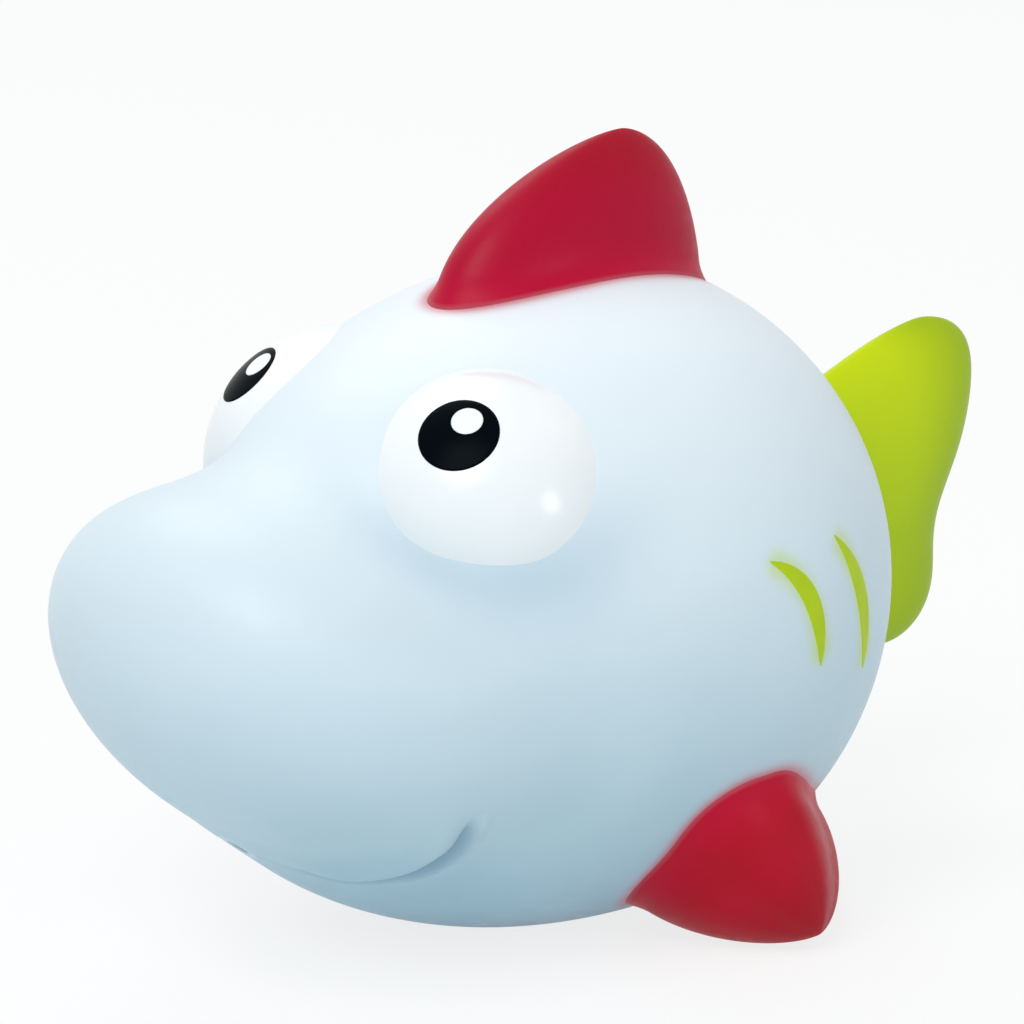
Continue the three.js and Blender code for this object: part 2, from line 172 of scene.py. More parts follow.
def closeTip(ring, tip, flip=False):
    nextOnes = np.roll(ring, -1)
    fan = np.stack([ring, nextOnes, np.full(len(ring), tip)], -1)
    return fan[:, ::-1] if flip else fan


# fin forms: a point for each height from the root (0) to the tip (1) and each turn round

def ringOffsets(turn):
    return np.cos(turn)[..., None], np.sin(turn)[..., None]


def taper(above, powers):
    return (1 - above ** powers[0]) ** powers[1]


dorsalForm = {
    "frontX": -12.4, "rearX": 13.2, "tipX": 5.8, "rise": 10.2, "lean": 1.1, "halfWidth": 5.7,
    "longTaper": (1.75, 0.62), "wideTaper": (1.5, 0.75), "bend": 6.0,
}


def backAt(x):
    return onSkin(np.array([x, 0.0, 0.0]), np.array([0, 0, 1.0]))


dorsalFront, dorsalRear = backAt(dorsalForm["frontX"]), backAt(dorsalForm["rearX"])
dorsalRoot = (dorsalFront + dorsalRear) / 2
dorsalAlong = unit(dorsalRear - dorsalFront)
dorsalUp = np.array([-dorsalAlong[2], 0, dorsalAlong[0]])
dorsalReach = backAt(dorsalForm["tipX"]) + np.array([0, 0, dorsalForm["rise"]]) - dorsalRoot
dorsalHalf = np.linalg.norm(dorsalRear - dorsalFront) / 2


def dorsalPoint(up, turn):
    f = dorsalForm
    c, s = ringOffsets(turn)
    above = np.clip(up, 0, 1)
    long = dorsalHalf * taper(above, f["longTaper"])
    wide = f["halfWidth"] * taper(above, f["wideTaper"])
    lean = -4 * f["lean"] * above * (1 - above)
    centre = dorsalRoot + above[..., None] * dorsalReach
    centre = centre + np.minimum(up, 0)[..., None] * dorsalUp * f["rise"]
    aside = wide[..., None] * s * np.array([0, 1.0, 0])
    return centre + (lean[..., None] + long[..., None] * c) * dorsalAlong + aside


pectoralForm = {
    "x": 1.4, "drop": 43.0, "halfLength": 9.6, "halfHeight": 8.05, "reach": 9.8, "sweep": 3.5, "droop": 1.5,
    "rearSlope": 0.32, "lower": 0.04, "chin": 1.5, "heel": 1.7, "blunt": 0.17, "taper": (1.6, 0.7), "bend": 5.0,
    "frontRun": (0.15, 1.0), "rearRun": (0.0, 1.0), "upperRun": (0.0, 0.85), "roundRun": (-0.2, 0.3), "roundPower": 3,
}
dropAngle = math.radians(pectoralForm["drop"])
pectoralSkin = onSkin(
    np.array([pectoralForm["x"], 0.0, 0.0]), np.array([0, -math.cos(dropAngle), -math.sin(dropAngle)])
)
pectoralOut = skinNormal(pectoralSkin)
pectoralLong = unit(np.array([1.0, 0, 0]) - pectoralOut * pectoralOut[0])
pectoralHigh = np.cross(pectoralOut, pectoralLong)
pectoralRoot = pectoralSkin - pectoralOut * pectoralForm["halfHeight"] ** 2 / (2 * skinForm["halfWidth"])
pectoralReach = pectoralOut * pectoralForm["reach"] + np.array([pectoralForm["sweep"], 0, 0])
pectoralReach = pectoralReach - pectoralHigh * pectoralForm["droop"]


def pectoralPoint(out, turn):
    f = pectoralForm
    c, s = ringOffsets(turn)
    above = np.clip(out, 0, 1)
    size = taper(above, f["taper"])[..., None]
    centre = pectoralRoot + above[..., None] * pectoralReach
    centre = centre + np.minimum(out, 0)[..., None] * pectoralOut * f["reach"]
    front, rear = smooth(-c, *f["frontRun"]), smooth(c, *f["rearRun"])
    upper = smooth(s, *f["upperRun"])
    power = f["roundPower"]
    rounder = (np.abs(c) ** power + np.abs(s) ** power) ** (-1 / power) - 1
    full = 1 + smooth(-c, *f["roundRun"]) * upper * rounder
    length = f["halfLength"] * (1 - f["blunt"] * front) * full * c
    height = f["halfHeight"] * (1 - (f["lower"] + f["rearSlope"] * rear) * upper) * full * s
    height = height - f["chin"] * front - f["heel"] * rear
    return centre + size * (length * pectoralLong + height * pectoralHigh)


tailForm = {
    "rootZ": 2.2, "rootHalf": 9.5, "rootOut": 0.3, "reach": 17.1, "slant": 2.8, "upperZ": 15.7, "lowerZ": -12.4,
    "notch": 2.0, "notchAt": -0.26, "notchWidth": 0.38, "corner": 0.38, "cornerPower": 5, "spread": 1.45,
    "halfThick": 2.7, "edgePower": 6, "thinning": 0.25, "bend": 8.0,
}
tailRootX = onSkin(np.array([0, 0, tailForm["rootZ"]]), np.array([1.0, 0, 0]))[0] + tailForm["rootOut"]


def tailEnd(high):
    f = tailForm
    notch = f["notch"] * np.exp(-(((high - f["notchAt"]) / f["notchWidth"]) ** 2))
    rounded = np.sqrt(np.maximum(1 - np.abs(high) ** f["cornerPower"], 0))
    return (f["reach"] + f["slant"] * high - notch) * (1 - f["corner"] + f["corner"] * rounded)


def tailPoint(along, turn):
    f = tailForm
    high, side = np.cos(turn), np.sin(turn)
    above = np.clip(along, 0, 1)
    thick = f["halfThick"] * np.sqrt(1 - above ** f["edgePower"])
    full = 1 - f["thinning"] * np.minimum(above * 2, 1)
    x = tailRootX + tailEnd(high) * above + np.minimum(along, 0) * f["reach"]
    rootZ = f["rootZ"] + high * f["rootHalf"]
    endZ = (f["upperZ"] + f["lowerZ"]) / 2 + high * (f["upperZ"] - f["lowerZ"]) / 2
    y = -np.sign(side) * np.abs(side) ** full * thick
    return np.stack([x, y, rootZ + (endZ - rootZ) * (1 - (1 - above) ** f["spread"])], -1)


# A fin's skirt flares out over the skin, so that it grows out of the body as a moulding does.
finMake = {
    "rows": 52, "segments": 120, "flare": 0.7, "fillet": 1.3, "sink": 4.0, "search": (-0.6, 0.9), "tip": 0.9995,
    "paintRun": (-0.1, 0.3), "rootRun": (0.3, 3.2), "rimRun": (0.5, 1.0),
}


def finSurface(pointAt):
    f = finMake
    turn = np.arange(f["segments"]) / f["segments"] * 2 * np.pi
    low = lastInside(lambda height: pointAt(height, turn), *(np.full(len(turn), end) for end in f["search"]))
    foot = pointAt(low, turn)
    share = np.sin(np.linspace(0, 1, f["rows"]) * np.pi / 2)[:, None]
    heights = low[None] + (f["tip"] - low[None]) * share
    points = pointAt(heights, np.broadcast_to(turn, heights.shape))
    gap = np.maximum(skinGap(points), 0)
    normal = skinNormal(foot)
    away = unit(points - points.mean(1, keepdims=True))
    away = away - normal * (away * normal).sum(-1, keepdims=True)
    points = points + f["flare"] * unit(away) * ((1 - np.clip(gap / f["fillet"], 0, 1)) ** 2)[..., None]
    hem = points[:1] - normal[None] * f["sink"]
    marks = {"paint": smooth(gap, *f["paintRun"]), "nearRoot": 1 - smooth(gap, *f["rootRun"])}
    marks["nearRim"] = np.broadcast_to(smooth(share, *f["rimRun"]), gap.shape)
    marks = {key: np.append(np.concatenate([m[:1], m]).ravel(), m[-1, 0]) for key, m in marks.items()}
    return np.concatenate([hem, points]), marks, foot


def closeEdge(ring):
    # a strip along a thin edge, from one side of the ring to the other
    pairs = [(i, i + 1, -i - 1, -i) for i in range(1, len(ring) // 2 - 1)]
    quads = [tuple(ring[i] for i in pair) for pair in pairs]
    half = len(ring) // 2
    return [(ring[0], ring[1], ring[-1]), *quads, (ring[half - 1], ring[half], ring[half + 1])]


def finMesh(name, pointAt, mirror=False, thinEdge=False):
    points, marks, foot = finSurface(pointAt)
    rows, count = points.shape[:2]
    flat = points.reshape(-1, 3)
    ring = np.arange((rows - 1) * count, rows * count)
    if thinEdge:
        faces = [*gridFaces(rows, count), *closeEdge(ring)]
        marks = {key: m[:-1] for key, m in marks.items()}
    else:
        faces = [*gridFaces(rows, count), *closeTip(ring, rows * count)]
        flat = np.concatenate([flat, flat[-count:].mean(0)[None]])
    if mirror:
        flat = flat * np.array([1, -1, 1])
        faces = [f[::-1] for f in faces]
        foot = foot * np.array([1, -1, 1])
    return makeMesh(name, flat, faces, marks), foot


dorsalFin, dorsalFoot = finMesh("dorsalFin", dorsalPoint)
pectoralLeft, pectoralFoot = finMesh("pectoralFinLeft", pectoralPoint)
pectoralRight, pectoralFootRight = finMesh("pectoralFinRight", pectoralPoint, mirror=True)
tailFin, tailFoot = finMesh("tailFin", tailPoint, thinEdge=True)
print("fins: dorsal, pectorals and tail")


# crescents sprayed on the flanks, as a film on the skin

crescentForm = {
    "front": ((-0.7, 6.9), (4.4, 4.8), (4.4, -2.2)), "rear": ((7.0, 7.4), (11.1, 3.2), (11.0, -4.2)),
    "halfWidth": 0.95, "swell": 1.15, "widthPower": 0.7, "film": 0.06, "edgePower": 6, "edgeSink": 1.6,
    "steps": 60, "across": 12, "unsprayed": 6,
}


def crescentPlan(name):
    f = crescentForm
    a, b, c = (np.array(p) for p in f[name])
    s = np.linspace(0, 1, f["steps"])[:, None]
    line = a * (1 - s) ** 2 + 2 * b * s * (1 - s) + c * s**2
    heading = unit(2 * (b - a) * (1 - s) + 2 * (c - b) * s)
    side = np.stack([heading[:, 1], -heading[:, 0]], -1)
    width = f["halfWidth"] * np.sin(np.pi * s ** f["swell"]) ** f["widthPower"]
    return line, side, width


def crescentMesh(name, which, side):
    f = crescentForm
    line, normal, width = crescentPlan(which)
    across = np.linspace(-1, 1, f["across"])
    plan = line[:, None] + normal[:, None] * (width * across[None])[..., None]
    start = np.stack([plan[..., 0], np.zeros(plan.shape[:2]), plan[..., 1]], -1)
    points = onSkin(start, np.array([0, float(side), 0]))
    lift = f["film"] * (1 - across ** f["edgePower"] * f["edgeSink"])[None]
    points = points + skinNormal(points) * lift[..., None]
    r, i = np.meshgrid(np.arange(f["steps"] - 1), np.arange(f["across"] - 1), indexing="ij")
    a = r * f["across"] + i
    quads = np.stack([a, a + 1, a + f["across"] + 1, a + f["across"]], -1).reshape(-1, 4)
    obj = makeMesh(name, points.reshape(-1, 3), quads if side == rightSide else quads[:, ::-1])
    return obj, points[f["unsprayed"]:-f["unsprayed"], f["across"] // 2]


crescents = {}
for side, label in ((leftSide, "Left"), (rightSide, "Right")):
    for which in ("front", "rear"):
        crescents[which + label] = crescentMesh(which + "Crescent" + label, which, side)
print("crescents:", len(crescents))


# the two halves of the skin, left and right

pitForm = {"radius": 1.45, "edge": 0.5, "depth": 5.0}
mouthForm = {
    "line": ((-33.2, 0.0, -15.2), (-31.4, 3.5, -16.0), (-28.3, 8.3, -16.6), (-25.8, 12.9, -15.4),
             (-24.9, 16.0, -13.2), (-25.0, 18.2, -11.1), (-25.4, 20.0, -8.8)),
    "fold": 0.75, "foldWidth": 0.45, "lip": 0.75, "lipWidth": 1.35, "lipAt": -1.7,
    "ridge": 0.6, "ridgeWidth": 0.6, "ridgeAt": 0.9, "ridgeRun": (0.45, 0.8), "ridgeEnd": (0.0, 2.0),
    "shadeAt": -0.5, "shadeWidth": 1.0, "end": (-0.2, 4.0), "endWidth": 0.6, "middle": 0.05, "middleRun": (4.0, 11.0),
    "steps": 24, "reach": 24.0,
}
sprayForm = {"full": 0.45, "reach": 0.8}


def mouthMiddle():
    turn = np.radians(np.arange(100, 175, 0.25))
    p = onSkin(heart, np.stack([np.cos(turn), 0 * turn, -np.sin(turn)], -1))
    return p[np.argmin(np.abs(bodyGap(p) - muzzleGap(p)))]


nozzleAt = mouthMiddle()
nozzleWay = unit(nozzleAt - heart)


def nearest(points, line):
    best = np.full(len(points), 1e9)
    for p in line:
        best = np.minimum(best, ((points - p) ** 2).sum(1))
    return np.sqrt(best)


def throughPoints(corners, steps):
    # a smooth line through its corners
    ends = np.array([2 * corners[0] - corners[1], *corners, 2 * corners[-1] - corners[-2]])
    t = (np.arange(steps) / steps)[:, None]
    parts = []
    for a, b, c, d in zip(ends, ends[1:], ends[2:], ends[3:]):
        curve = (2 * a - 5 * b + 4 * c - d) * t**2 + (3 * b - a - 3 * c + d) * t**3
        parts.append(0.5 * (2 * b + (c - a) * t + curve))
    return np.concatenate([*parts, ends[-2:-1]])


def mouthRelief(points, side):
    # a fold under the upper lip, and a ridge of the lower lip that rises towards the corner of the smile; also
    # painted shade along the fold on the muzzle side
    f = mouthForm
    path = throughPoints(np.array(f["line"]), f["steps"])
    path = onSkin(heart, unit(path - heart))
    along = np.concatenate([[0], np.cumsum(np.linalg.norm(np.diff(path, axis=0), axis=1))])
    heading = unit(np.gradient(path, axis=0))
    beside = np.cross(skinNormal(path), heading)
    here = points * np.array([1, side, 1])
    near = np.linalg.norm(here - path[len(path) // 2], axis=1) < f["reach"]
    best, which = np.full(len(points), 1e9), np.zeros(len(points), int)
    for i, q in enumerate(path):
        d = ((here[near] - q) ** 2).sum(1)
        closer = d < best[near]
        spot = np.flatnonzero(near)[closer]
        best[spot], which[spot] = d[closer], i
    across = ((here - path[which]) * beside[which]).sum(1)
    past = np.sqrt(np.maximum(best - across**2, 0))
    within = np.exp(-((past / f["endWidth"]) ** 2)) * near
    toEnd = along[-1] - along[which]
    deep = smooth(toEnd, *f["end"]) * within
    deep = deep * (f["middle"] + (1 - f["middle"]) * smooth(along[which], *f["middleRun"]))
    rise = smooth(along[which] / along[-1], *f["ridgeRun"]) * smooth(toEnd, *f["ridgeEnd"]) * within

    def hump(at, width):
        return np.exp(-(((across - at) / width) ** 2))

    raised = deep * (f["lip"] * hump(f["lipAt"], f["lipWidth"]) - f["fold"] * hump(0, f["foldWidth"]))
    raised = raised + f["ridge"] * rise * hump(f["ridgeAt"], f["ridgeWidth"])
    # the second value is painted shade on the muzzle side of the fold, where the lip overhangs
    return raised, deep * hump(f["shadeAt"], f["shadeWidth"])


# an eye is a cap of a ball, and the skin below it is darkened with painted shade
eyeForm = {
    "ballAt": (-15.3, 9.0, 10.2), "ballRadius": 11.0, "rimRadius": 9.4, "turn": 45.8, "rise": 39.2, "skirt": 1.5,
    "pupilRadii": (3.1, 2.8), "pupilTurns": (34.0, 24.0), "pupilRise": 46.0, "pupilFilm": 0.04,
    "glintRadius": 1.2, "glintTurns": (38.0, 19.0), "glintRise": 51.5, "glintFilm": 0.08,
    "eyeGrid": (40, 128), "pupilGrid": (16, 80), "glintGrid": (8, 48),
    "shadeReach": 3.0, "shadeTop": 16.0, "shadeFall": 9.0,
}


def skinHalf(name, side, feet):
    f = skinForm
    lean = np.linspace(0, np.pi / 2, f["rings"] + 1)[1:, None]
    turn = (np.arange(f["segments"]) / f["segments"] * 2 * np.pi)[None]
    turn = turn - f["crowd"] * np.sin(turn - math.radians(f["crowdAt"]))
    way = np.stack(
        [np.sin(lean) * np.cos(turn), side * np.cos(lean) + 0 * turn, np.sin(lean) * np.sin(turn)], -1
    ).reshape(-1, 3)
    way[-f["segments"]:, 1] = 0
    way = np.concatenate([way, [[0, side, 0]]])
    points = onSkin(heart, way)
    normal = skinNormal(points)

    raised, fold = mouthRelief(points, side)
    points = points + normal * raised[:, None]

    # the pit that the nozzle sits in, and the flat under the belly
    away = points - nozzleAt
    off = np.linalg.norm(away - nozzleWay * (away @ nozzleWay)[:, None], axis=1)
    front = (points - heart) @ nozzleWay > 0
    sunk = pitForm["depth"] * front * (1 - smooth(off, pitForm["radius"] - pitForm["edge"], pitForm["radius"]))
    points = points - nozzleWay * sunk[:, None]
    points[:, 2] = np.maximum(points[:, 2], floorZ)

    sprayAndPaintedShade = {}
    for key, lines in feet.items():
        d = np.min([nearest(points, line) for line in lines], axis=0)
        sprayAndPaintedShade[key] = np.exp(-((np.maximum(d - sprayForm["full"], 0) / sprayForm["reach"]) ** 2))
    # painted shade along the mouth fold
    sprayAndPaintedShade["fold"] = fold
    # painted shade on the skin below each eye, fading out from the eye's rim
    ball = np.array(eyeForm["ballAt"]) * np.array([1, side, 1])
    off = np.maximum(np.linalg.norm(points - ball, axis=1) - eyeForm["ballRadius"], 0)
    under = smooth(eyeForm["shadeTop"] - points[:, 2], 0, eyeForm["shadeFall"])
    sprayAndPaintedShade["paintedShadeUnderEye"] = under * np.exp(-((off / eyeForm["shadeReach"]) ** 2))
    rows, count = f["rings"], f["segments"]
    ring = np.arange(count)
    faces = [*gridFaces(rows, count, flip=side == leftSide), *closeTip(ring, rows * count, flip=side == rightSide)]
    half = makeMesh(name, points, faces, sprayAndPaintedShade)
    # where the halves meet, both take the same normals, so that no seam shows
    normals = np.zeros(len(points) * 3)
    half.data.vertices.foreach_get("normal", normals)
    normals = normals.reshape(-1, 3)
    normals[(rows - 1) * count:rows * count, 1] = 0
    half.data.normals_split_custom_set_from_vertices([tuple(n) for n in unit(normals)])
    return half


skinLeft = skinHalf("skinLeft", leftSide, {
    "redSpray": [dorsalFoot, pectoralFoot],
    "greenSpray": [tailFoot, crescents["frontLeft"][1], crescents["rearLeft"][1]],
})
skinRight = skinHalf("skinRight", rightSide, {
    "redSpray": [dorsalFoot, pectoralFootRight],
    "greenSpray": [tailFoot, crescents["frontRight"][1], crescents["rearRight"][1]],
})
print("skin: two halves")


# eyes: domes with the pupil and catchlight as films on them

def lookAlong(turn, rise, side):
    t, r = math.radians(turn), math.radians(rise)
    return np.array([-math.cos(t) * math.cos(r), side * math.sin(t) * math.cos(r), math.sin(r)])


def capMesh(name, side, way, radius, widest, grid, edge):
    # a cap of a ball round the line of sight, with an edge that goes down by the given depth
    rows, count = grid
    ball = np.array(eyeForm["ballAt"]) * np.array([1, side, 1])
    across = unit(np.cross(way, np.array([0, 0, 1.0])))
    up = np.cross(across, way)
    lean = np.linspace(0, math.asin(widest / radius), rows + 1)[1:, None]
    turn = (np.arange(count) / count * 2 * np.pi)[None]
    ring = np.cos(turn)[..., None] * across + np.sin(turn)[..., None] * up
    points = ball + radius * (np.cos(lean)[..., None] * way + np.sin(lean)[..., None] * ring)
    low = points[-1:] - way * edge
    points = np.concatenate([points, low]).reshape(-1, 3)
    points = np.concatenate([points, [ball + radius * way]])
    faces = [*gridFaces(rows + 1, count), *closeTip(np.arange(count), (rows + 1) * count, flip=True)]
    return makeMesh(name, points, faces)


eyes, pupils, glints = [], [], []
for i, (side, label) in enumerate(((leftSide, "Left"), (rightSide, "Right"))):
    f = eyeForm
    ahead = lookAlong(f["turn"], f["rise"], side)
    eyes.append(capMesh("eye" + label, side, ahead, f["ballRadius"], f["rimRadius"], f["eyeGrid"], f["skirt"]))
    ahead = lookAlong(f["pupilTurns"][i], f["pupilRise"], side)
    radius = f["ballRadius"] + f["pupilFilm"]
    pupils.append(
        capMesh("pupil" + label, side, ahead, radius, f["pupilRadii"][i], f["pupilGrid"], f["pupilFilm"] * 2)
    )
    ahead = lookAlong(f["glintTurns"][i], f["glintRise"], side)
    radius = f["ballRadius"] + f["glintFilm"]
    glints.append(
        capMesh("catchlight" + label, side, ahead, radius, f["glintRadius"], f["glintGrid"], f["glintFilm"])
    )
print("eyes: domes, pupils and catchlights")


# nozzle: a soft bush with a narrow bore, set in the pit

nozzleForm = {"bore": 0.9, "head": 1.8, "proud": 0.04, "depth": 3.6, "edge": 0.25, "start": 8.0, "segments": 72}


def nozzleMesh():
    # the face follows the skin round it, and both its edges are rounded over
    f = nozzleForm
    arc = np.linspace(0, np.pi / 2, 8)
    outside = [(f["head"] - f["edge"] * (1 - math.cos(t)), -f["edge"] * (1 - math.sin(t))) for t in arc]
    inside = [(f["bore"] + f["edge"] * (1 - math.sin(t)), -f["edge"] * (1 - math.cos(t))) for t in arc]
    profile = np.array([(f["head"], -f["edge"] * 2), *outside, *inside, (f["bore"], -f["depth"])])
    across = np.array([0, 1.0, 0])
    up = np.cross(nozzleWay, across)
    turn = np.arange(f["segments"]) / f["segments"] * 2 * np.pi
    ring = np.cos(turn)[:, None] * across + np.sin(turn)[:, None] * up
    level = onSkin(nozzleAt - nozzleWay * f["start"] + profile[:, :1, None] * ring[None], nozzleWay)
    points = level + (f["proud"] + profile[:, 1:, None]) * nozzleWay
    floor = nozzleAt - nozzleWay * f["depth"]
    points[-1] = floor + f["bore"] * ring
    rows, count = len(profile), f["segments"]
    end = closeTip(np.arange((rows - 1) * count, rows * count), rows * count, flip=True)
    points = np.concatenate([points.reshape(-1, 3), [floor]])
    return makeMesh("squirtNozzle", points, [*gridFaces(rows, count, flip=True), *end])


nozzle = nozzleMesh()
print("nozzle")


# finishes

def linear(*colour):
    # a colour as it is seen, from 0 to 255, to the linear values that shaders take
    parts = [c / 255 for c in colour]
    return (*(c / 12.92 if c <= 0.04045 else ((c + 0.055) / 1.055) ** 2.4 for c in parts), 1)


class Finish:
    # a material with its shader, and short ways to add and join nodes
    def __init__(self, name):
        self.material = bpy.data.materials.new(name)
        self.material.use_nodes = True
        self.nodes = self.material.node_tree.nodes
        self.links = self.material.node_tree.links
        self.shader = self.nodes["Principled BSDF"]

    def add(self, kind, **settings):
        node = self.nodes.new(kind)
        for key, value in settings.items():
            setattr(node, key, value)
        return node

    def join(self, source, target):
        self.links.new(source, target)

    def put(self, **sockets):
        for key, value in sockets.items():
            self.shader.inputs[key.replace("_", " ")].default_value = value

    def attribute(self, name):
        return self.add("ShaderNodeAttribute", attribute_name=name).outputs["Fac"]

    def mix(self, factor, first, second):
        node = self.add("ShaderNodeMix", data_type="RGBA")
        for value, socket in ((factor, node.inputs[0]), (first, node.inputs[6]), (second, node.inputs[7])):
            if isinstance(value, bpy.types.NodeSocket):
                self.join(value, socket)
            else:
                socket.default_value = value
        return node.outputs[2]

    def noise(self, scale, detail=2.0):
        node = self.add("ShaderNodeTexNoise")
        node.inputs["Scale"].default_value = scale
        node.inputs["Detail"].default_value = detail
        self.join(self.add("ShaderNodeTexCoord").outputs["Object"], node.inputs["Vector"])
        return node.outputs["Fac"]

    def spread(self, value, low, high, toLow, toHigh):
        node = self.add("ShaderNodeMapRange")
        self.join(value, node.inputs["Value"])
        for key, number in (("From Min", low), ("From Max", high), ("To Min", toLow), ("To Max", toHigh)):
            node.inputs[key].default_value = number
        return node.outputs["Result"]

    def grain(self, scale, strength, distance):
        bump = self.add("ShaderNodeBump")
        bump.inputs["Strength"].default_value = strength
        bump.inputs["Distance"].default_value = distance
        self.join(self.noise(scale, 3.0), bump.inputs["Height"])
        self.join(bump.outputs["Normal"], self.shader.inputs["Normal"])

    def height(self, low, high):
        split = self.add("ShaderNodeSeparateXYZ")
        self.join(self.add("ShaderNodeTexCoord").outputs["Object"], split.inputs[0])
        return self.spread(split.outputs["Z"], low, high, 0.0, 1.0)


def softVinyl(finish, roughness, shine):
    finish.put(Specular_IOR_Level=shine, IOR=1.46)
    rough = finish.spread(finish.noise(900.0), 0.3, 0.7, roughness - 0.04, roughness + 0.05)
    finish.join(rough, finish.shader.inputs["Roughness"])
    finish.grain(1500.0, 0.08, 0.0002)


# the vinyl's top, side and belly colours are painted light and shade, pale at the top and deeper blue lower down;
# shade is painted shade
vinylColours = {
    "top": (237, 245, 251), "side": (172, 204, 217), "belly": (138, 184, 206), "pale": (226, 240, 247),
    "shade": (118, 164, 188),
}
# the red and green for the upper parts of the fins are painted highlights
paintColours = {
    "red": (174, 8, 30), "redHigh": (174, 4, 46), "redEdge": (200, 8, 58), "redRim": (164, 8, 32),
    "green": (172, 202, 4), "greenHigh": (204, 224, 6), "greenEdge": (188, 213, 26), "greenRim": (146, 178, 12),
}


def bodyVinyl():
    finish = Finish("iceBlueVinyl")
    c = {key: linear(*value) for key, value in vinylColours.items()}
    p = {key: linear(*value) for key, value in paintColours.items()}
    # painted shade and painted light: deeper blue at the belly, through the side, to a pale top, as light falls from
    # above
    base = finish.mix(finish.height(-0.002, 0.014), c["belly"], c["side"])
    base = finish.mix(finish.height(0.014, 0.051), base, c["top"])
    base = finish.mix(finish.spread(finish.noise(60.0), 0.35, 0.65, 0.0, 0.12), base, c["pale"])
    # painted shade along the mouth fold
    base = finish.mix(finish.spread(finish.attribute("fold"), 0.0, 1.0, 0.0, 0.45), base, c["shade"])
    # painted shade below the eyes
    base = finish.mix(finish.spread(finish.attribute("paintedShadeUnderEye"), 0.0, 1.0, 0.0, 0.32), base, c["shade"])
    base = finish.mix(finish.spread(finish.attribute("redSpray"), 0.0, 1.0, 0.0, 0.75), base, p["redEdge"])
    base = finish.mix(finish.spread(finish.attribute("greenSpray"), 0.0, 1.0, 0.0, 0.5), base, p["greenEdge"])
    finish.join(base, finish.shader.inputs["Base Color"])
    softVinyl(finish, 0.42, 0.4)
    return finish.material


def finPaint(name, paint, shine):
    finish = Finish(name)
    p = {key: linear(*value) for key, value in paintColours.items()}
    base = finish.mix(finish.spread(finish.noise(140.0), 0.3, 0.7, 0.0, 0.3), p[paint], p[paint + "Edge"])
    # painted highlight: the upper parts of the fins are lighter, as light falls from above
    base = finish.mix(finish.height(0.024, 0.042), base, p[paint + "High"])
    base = finish.mix(finish.spread(finish.attribute("nearRoot"), 0.0, 1.0, 0.0, 0.4), base, p[paint + "Edge"])
    base = finish.mix(finish.spread(finish.attribute("nearRim"), 0.0, 1.0, 0.0, 0.75), base, p[paint + "Rim"])
    bare = linear(*vinylColours["pale"])
    base = finish.mix(finish.spread(finish.attribute("paint"), 0.0, 0.9, 0.88, 1.0), bare, base)
    finish.join(base, finish.shader.inputs["Base Color"])
    softVinyl(finish, 0.4, shine)
    return finish.material


def crescentPaint():
    finish = Finish("crescentPaint")
    p = {key: linear(*value) for key, value in paintColours.items()}
    base = finish.mix(finish.spread(finish.noise(400.0), 0.3, 0.7, 0.0, 0.5), p["green"], p["greenEdge"])
    finish.join(base, finish.shader.inputs["Base Color"])
    softVinyl(finish, 0.42, 0.22)
    return finish.material


def gloss(name, colour, low, roughness, shine, foot, head):
    # a smooth finish whose colour runs from the head of the piece to its foot: painted shade, darker towards the foot
    # on the eye white and the nozzle
    finish = Finish(name)
    base = finish.mix(finish.height(foot, head), linear(*low), linear(*colour))
    base = finish.mix(finish.spread(finish.noise(90.0), 0.3, 0.7, 0.0, 0.15), base, linear(*low))
    finish.join(base, finish.shader.inputs["Base Color"])
    rough = finish.spread(finish.noise(260.0, 1.0), 0.3, 0.7, roughness, roughness + 0.02)
    finish.join(rough, finish.shader.inputs["Roughness"])
    finish.put(Specular_IOR_Level=shine)
    return finish.material


finishes = {
    "vinyl": bodyVinyl(),
    "red": finPaint("sprayedRed", "red", 0.16),
    "green": finPaint("sprayedGreen", "green", 0.22),
    "crescent": crescentPaint(),
    "white": gloss("eyeWhite", (249, 252, 253), (206, 221, 228), 0.2, 0.5, 0.027, 0.044),
    "black": gloss("pupilBlack", (2, 8, 13), (4, 11, 17), 0.24, 0.015, 0.038, 0.046),
    "nozzle": gloss("nozzleVinyl", (196, 220, 230), (180, 208, 221), 0.4, 0.4, 0.008, 0.012),
}
print("finishes:", len(finishes))


# each piece: what it looks like and which solids it stands for; the eyes and the nozzle ride on the body

def wear(obj, finish):
    obj.data.materials.clear()
    obj.data.materials.append(finishes[finish])


# each skin half and its crescent films take their finishes and stand in for the flank wall and the stripes of that
# side
for half, side, label in ((skinLeft, leftSide, "left"), (skinRight, rightSide, "right")):
    wear(half, "vinyl")
    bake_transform(half)
    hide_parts("squeeze_wall_" + label)
    for which in ("front", "rear"):
        film = crescents[which + label.capitalize()][0]
        wear(film, "crescent")
        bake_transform(film)
        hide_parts("stripe_" + which + "_" + label)
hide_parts("body_shell")


def bend(obj):
    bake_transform(obj)


wear(dorsalFin, "red")
bend(dorsalFin)
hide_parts("dorsal_fin")
wear(tailFin, "green")
bend(tailFin)
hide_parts("tail_fin")
for fin, side, label in ((pectoralLeft, leftSide, "left"), (pectoralRight, rightSide, "right")):
    wear(fin, "red")
    bend(fin)
    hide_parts("pectoral_fin_" + label)

for i, label in enumerate(("left", "right")):
    for obj, finish, slot, node in (
        (eyes[i], "white", "eye_white", "eye_"), (pupils[i], "black", "pupil_black", "pupil_"),
        (glints[i], "white", "eye_white", "catchlight_"),
    ):
        wear(obj, finish)
        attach(obj, "body")
        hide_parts(node + label)
wear(nozzle, "nozzle")
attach(nozzle, "body")
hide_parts("squirt_nozzle")
print("pieces on their bodies")


# floor, light and camera

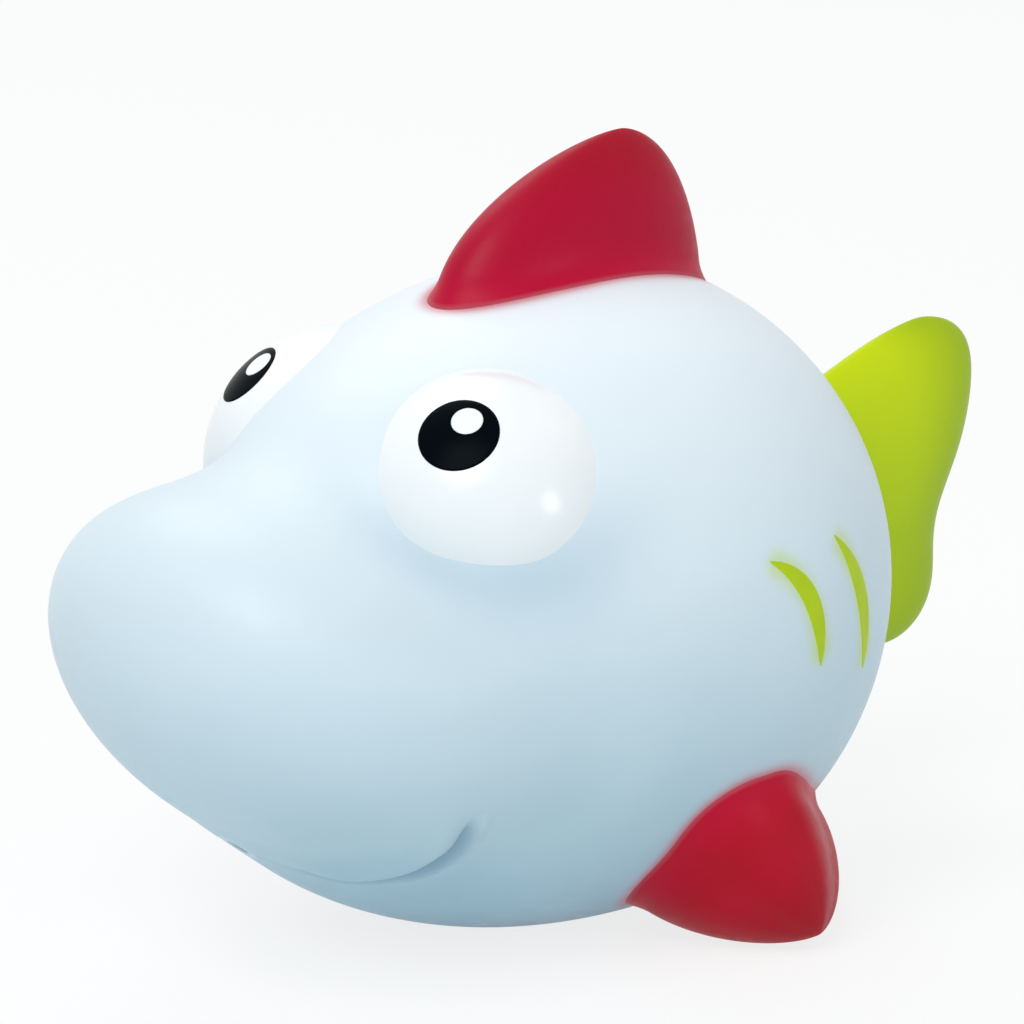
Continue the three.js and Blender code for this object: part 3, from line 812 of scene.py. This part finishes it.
stageForm = {"floor": 6.0, "below": 0.0002, "floorColour": (248, 249, 250), "whiten": 0.8}
worldForm = {"strength": 0.5, "colour": (0.95, 0.98, 1.0, 1)}


def seenAsBackground(nodes, links):
    # 1 for what the camera sees, directly, mirrored or through something clear
    path = nodes.new("ShaderNodeLightPath")
    seen = path.outputs["Is Camera Ray"]
    for ray in ("Is Glossy Ray", "Is Transmission Ray"):
        either = nodes.new("ShaderNodeMath")
        either.operation = "MAXIMUM"
        links.new(seen, either.inputs[0])
        links.new(path.outputs[ray], either.inputs[1])
        seen = either.outputs[0]
    return seen


def makeFloor():
    half, z = stageForm["floor"] / 2, -stageForm["below"]
    mesh = bpy.data.meshes.new("floor")
    corners = [(-half, -half, z), (half, -half, z), (half, half, z), (-half, half, z)]
    mesh.from_pydata(corners, [], [(0, 1, 2, 3)])
    floor = bpy.data.objects.new("floor", mesh)
    bpy.context.scene.collection.objects.link(floor)
    finish = Finish("paleFloor")
    finish.put(Base_Color=linear(*stageForm["floorColour"]), Roughness=0.9)
    glow = finish.add("ShaderNodeEmission")
    glow.inputs["Color"].default_value = (1, 1, 1, 1)
    share = finish.add("ShaderNodeMath", operation="MULTIPLY")
    finish.join(seenAsBackground(finish.nodes, finish.links), share.inputs[0])
    share.inputs[1].default_value = stageForm["whiten"]
    mix = finish.add("ShaderNodeMixShader")
    finish.join(share.outputs[0], mix.inputs[0])
    finish.join(finish.shader.outputs[0], mix.inputs[1])
    finish.join(glow.outputs[0], mix.inputs[2])
    finish.join(mix.outputs[0], finish.nodes["Material Output"].inputs["Surface"])
    mesh.materials.append(finish.material)


def makeWorld():
    world = bpy.data.worlds.new("studio")
    bpy.context.scene.world = world
    world.use_nodes = True
    nodes, links = world.node_tree.nodes, world.node_tree.links
    ambient = nodes["Background"]
    ambient.inputs["Color"].default_value = worldForm["colour"]
    ambient.inputs["Strength"].default_value = worldForm["strength"]
    white = nodes.new("ShaderNodeBackground")
    white.inputs["Color"].default_value = (1, 1, 1, 1)
    mix = nodes.new("ShaderNodeMixShader")
    links.new(seenAsBackground(nodes, links), mix.inputs[0])
    links.new(ambient.outputs[0], mix.inputs[1])
    links.new(white.outputs[0], mix.inputs[2])
    links.new(mix.outputs[0], nodes["World Output"].inputs["Surface"])


lampAim = (0, 0, 0.028)
lampForm = {
    "key": {"at": (-0.44, -0.2, 0.6), "size": 0.45, "power": 2.55},
    "fill": {"at": (0.14, -0.63, 0.20), "size": 0.17, "power": 0.42},
    "back": {"at": (0.12, 0.45, 0.62), "size": 0.5, "power": 1.3},
}


def makeLamps():
    aim = Vector(lampAim)
    for name, form in lampForm.items():
        lamp = bpy.data.lights.new(name, "AREA")
        lamp.shape = "DISK"
        lamp.size = form["size"]
        lamp.energy = form["power"]
        obj = bpy.data.objects.new(name, lamp)
        obj.location = form["at"]
        obj.rotation_euler = (aim - obj.location).to_track_quat("-Z", "Y").to_euler()
        bpy.context.scene.collection.objects.link(obj)


cameraForm = {
    "azimuth": -40.3, "elevation": 16.1, "distance": 360.0, "lens": 158.2, "sensor": 36.0, "aim": (-4.22, 5.26),
}


def makeCamera():
    a, e = math.radians(cameraForm["azimuth"]), math.radians(cameraForm["elevation"])
    back = np.array([math.sin(a) * math.cos(e), -math.cos(a) * math.cos(e), math.sin(e)])
    right = np.array([math.cos(a), math.sin(a), 0])
    up = np.cross(back, right)
    spot = cameraForm["aim"][0] * right + cameraForm["aim"][1] * up
    lens = bpy.data.cameras.new("photoCamera")
    lens.lens = cameraForm["lens"]
    lens.sensor_width = cameraForm["sensor"]
    camera = bpy.data.objects.new("photoCamera", lens)
    camera.location = toFrame(back * cameraForm["distance"])
    camera.rotation_euler = (Vector(toFrame(spot)) - camera.location).to_track_quat("-Z", "Y").to_euler()
    lens.clip_start, lens.clip_end = 0.01, 20
    bpy.context.scene.collection.objects.link(camera)
    bpy.context.scene.camera = camera


makeFloor()
makeWorld()
makeLamps()
makeCamera()
bpy.context.scene.view_settings.view_transform = "Standard"
print("floor, light and camera")
